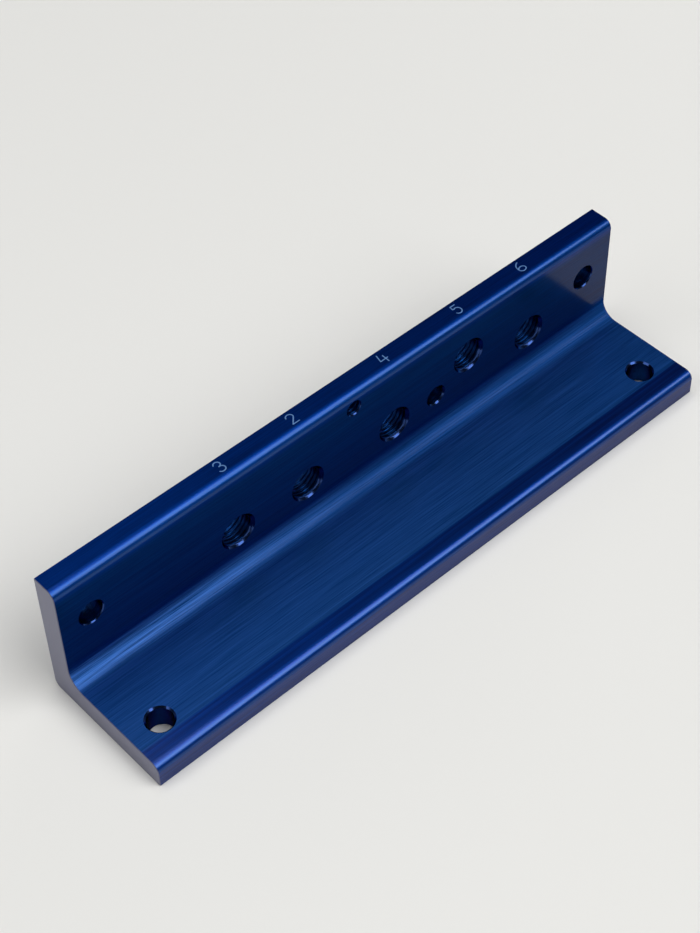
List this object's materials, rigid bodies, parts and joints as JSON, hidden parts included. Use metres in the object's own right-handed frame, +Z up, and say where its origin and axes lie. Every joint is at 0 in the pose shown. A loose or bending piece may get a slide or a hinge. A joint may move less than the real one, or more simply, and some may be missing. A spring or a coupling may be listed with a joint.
{
  "type": "port bracket",
  "caption": "Aluminium angle bracket with tapped pipe ports along its upright and mounting holes near the ends of both legs, anodised blue.",
  "frame": {"origin": "centre of the footprint, on the underside of the base leg", "axes": "+X along the bracket, +Y towards the back face of the upright, +Z up the upright; the open side faces -Y"},
  "size_m": [0.23, 0.05, 0.05],
  "materials": {
    "blue_anodise": "blue anodised over fine lines that run lengthwise, satin"
  },
  "bodies": {
    "root": {"port_bracket": "blue_anodise"}
  },
  "joints": []
}
